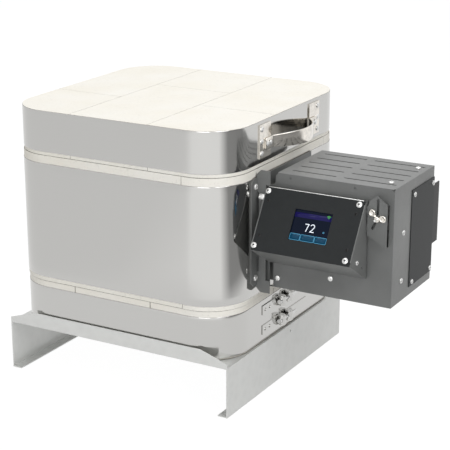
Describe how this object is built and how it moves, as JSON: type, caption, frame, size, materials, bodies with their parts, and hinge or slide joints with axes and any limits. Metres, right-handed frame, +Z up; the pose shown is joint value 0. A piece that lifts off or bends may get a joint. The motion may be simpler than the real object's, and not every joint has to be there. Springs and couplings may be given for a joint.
{
  "type": "bead annealing kiln",
  "caption": "Square brick lined annealing kiln with polished steel bands, lift-off lid, side control box with tilted display, and folded sheet steel stand.",
  "frame": {"origin": "middle of the object's box in plan, on the surface that the stand rests on", "axes": "+Z up, +X towards the control box, -Y towards the display and the front lip of the stand"},
  "size_m": [0.54, 0.343, 0.3629],
  "materials": {
    "galvanised": "satin zinc coated sheet",
    "firebrick": "soft insulating fire brick",
    "stainless": "polished stainless sheet",
    "bright_steel": "zinc plated",
    "heating_wire": "oxidised resistance wire",
    "porcelain": "bare white porcelain",
    "brass": "plain",
    "probe_sheath": "closed ceramic sheath",
    "charcoal_coat": "fine textured powder coat",
    "cover_coat": "fine textured powder coat",
    "black_panel": "satin printed overlay",
    "black_anodised": "black anodised",
    "relay_case": "moulded",
    "transformer_core": "varnished laminations",
    "black_plastic": "moulded",
    "circuit_board": "solder mask",
    "screen_glass": "lit display behind clear glass",
    "black_screw": "black oxide",
    "nickel": "nickel plated"
  },
  "bodies": {
    "root": {"stand": "galvanised", "floor_bricks": "firebrick", "floor_band": "stainless", "floor_clamp_straps": "stainless", "floor_clamp_trunnions": "bright_steel", "floor_clamp_bolts": "bright_steel", "chamber_brick_front": "firebrick", "chamber_brick_right": "firebrick", "chamber_brick_back": "firebrick", "chamber_brick_left": "firebrick", "chamber_band": "stainless", "chamber_clamp_straps": "stainless", "chamber_clamp_trunnions": "bright_steel", "chamber_clamp_bolts": "bright_steel", "element_lower": "heating_wire", "element_upper": "heating_wire", "tail_bushings": "porcelain", "tail_terminals": "brass", "thermocouple": "probe_sheath", "thermocouple_block": "porcelain", "mount_channel": "charcoal_coat", "mount_screws": "bright_steel", "box_chassis": "charcoal_coat", "box_cover": "cover_coat", "box_screws": "bright_steel", "side_plate": "black_panel", "side_plate_screws": "bright_steel", "heat_sink": "black_anodised", "relay": "relay_case", "transformer": "transformer_core", "terminal_block": "black_plastic", "relay_board": "circuit_board", "power_inlet": "black_plastic", "clamp_stud": "bright_steel"},
    "lid": {"lid_bricks": "firebrick", "lid_band": "stainless", "lid_clamp_straps": "stainless", "lid_clamp_trunnions": "bright_steel", "lid_clamp_bolts": "bright_steel", "handle_plates": "nickel", "handle_grip_right": "nickel", "handle_grip_left": "nickel", "handle_rivets": "bright_steel"},
    "pod": {"pod_housing": "charcoal_coat", "face_plate": "black_panel", "display_window": "screen_glass", "display_board": "circuit_board", "face_screws": "bright_steel", "board_screws": "black_screw", "pod_side_screws": "bright_steel"},
    "nut": {"wing_nut": "nickel"}
  },
  "joints": [
    {"name": "lid_lift", "type": "slide", "parent": "root", "child": "lid", "axis": [0, 0, 1], "range_m": [0, 0.2]},
    {"name": "pod_slide", "type": "slide", "parent": "root", "child": "pod", "axis": [0, 0, -1], "range_m": [0, 0.022]},
    {"name": "wing_nut_turn", "type": "hinge", "parent": "root", "child": "nut", "pos_m": [0.24948, -0.09308, 0.2648], "axis": [0, 1, 0], "continuous": true}
  ]
}
